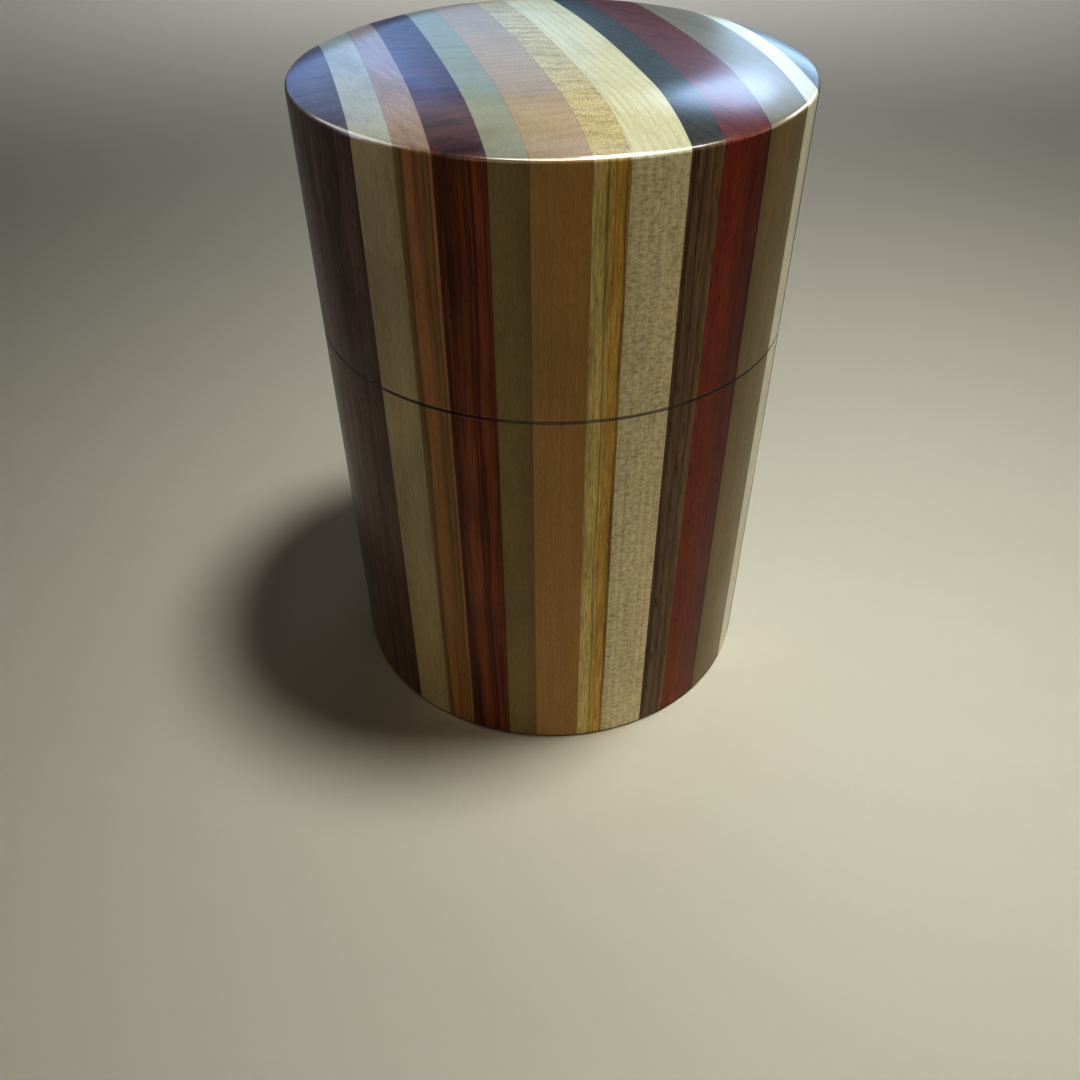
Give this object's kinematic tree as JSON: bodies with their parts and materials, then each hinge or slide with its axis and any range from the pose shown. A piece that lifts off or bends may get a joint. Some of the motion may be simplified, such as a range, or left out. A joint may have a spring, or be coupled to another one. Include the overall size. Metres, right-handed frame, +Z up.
{
  "type": "tea caddy",
  "caption": "Cylindrical wooden tea caddy turned from a block of upright planks in contrasting woods, with a low-domed lift-off lid and a knobbed inner lid.",
  "frame": {"origin": "centre of the base, on the surface the caddy stands on", "axes": "+Z up along the turning axis; the glue faces between planks are square to +X, walnut plank at -X and dark walnut plank at +X; stripes on the lid run along Y"},
  "size_m": [0.08, 0.08, 0.1156],
  "materials": {
    "walnut": "clear semi-gloss lacquer",
    "linden": "clear semi-gloss lacquer",
    "zelkova": "clear semi-gloss lacquer",
    "rosewood": "clear semi-gloss lacquer",
    "magnolia": "clear semi-gloss lacquer",
    "katsura": "clear semi-gloss lacquer",
    "sumac": "clear semi-gloss lacquer",
    "maple": "clear semi-gloss lacquer",
    "bog_oak": "clear semi-gloss lacquer",
    "padauk": "clear semi-gloss lacquer",
    "ginkgo": "clear semi-gloss lacquer",
    "holly": "clear semi-gloss lacquer",
    "dark_walnut": "clear semi-gloss lacquer",
    "cherry": "clear semi-gloss lacquer"
  },
  "bodies": {
    "body": {"body_plank_01_walnut": "walnut", "body_plank_02_linden": "linden", "body_plank_03_zelkova": "zelkova", "body_plank_04_rosewood": "rosewood", "body_plank_05_magnolia": "magnolia", "body_plank_06_katsura": "katsura", "body_plank_07_sumac": "sumac", "body_plank_08_maple": "maple", "body_plank_09_bog_oak": "bog_oak", "body_plank_10_padauk": "padauk", "body_plank_11_ginkgo": "ginkgo", "body_plank_12_holly": "holly", "body_plank_13_dark_walnut": "dark_walnut"},
    "inner_lid": {"inner_lid_disc": "cherry", "inner_lid_knob": "walnut"},
    "lid": {"lid_plank_01_walnut": "walnut", "lid_plank_02_linden": "linden", "lid_plank_03_zelkova": "zelkova", "lid_plank_04_rosewood": "rosewood", "lid_plank_05_magnolia": "magnolia", "lid_plank_06_katsura": "katsura", "lid_plank_07_sumac": "sumac", "lid_plank_08_maple": "maple", "lid_plank_09_bog_oak": "bog_oak", "lid_plank_10_padauk": "padauk", "lid_plank_11_ginkgo": "ginkgo", "lid_plank_12_holly": "holly", "lid_plank_13_dark_walnut": "dark_walnut"}
  },
  "joints": [
    {"name": "inner_lid_lift", "type": "slide", "parent": "body", "child": "inner_lid", "axis": [0, 0, 1], "range_m": [0, 0.04]},
    {"name": "lid_lift", "type": "slide", "parent": "inner_lid", "child": "lid", "axis": [0, 0, 1], "range_m": [0, 0.07]}
  ]
}
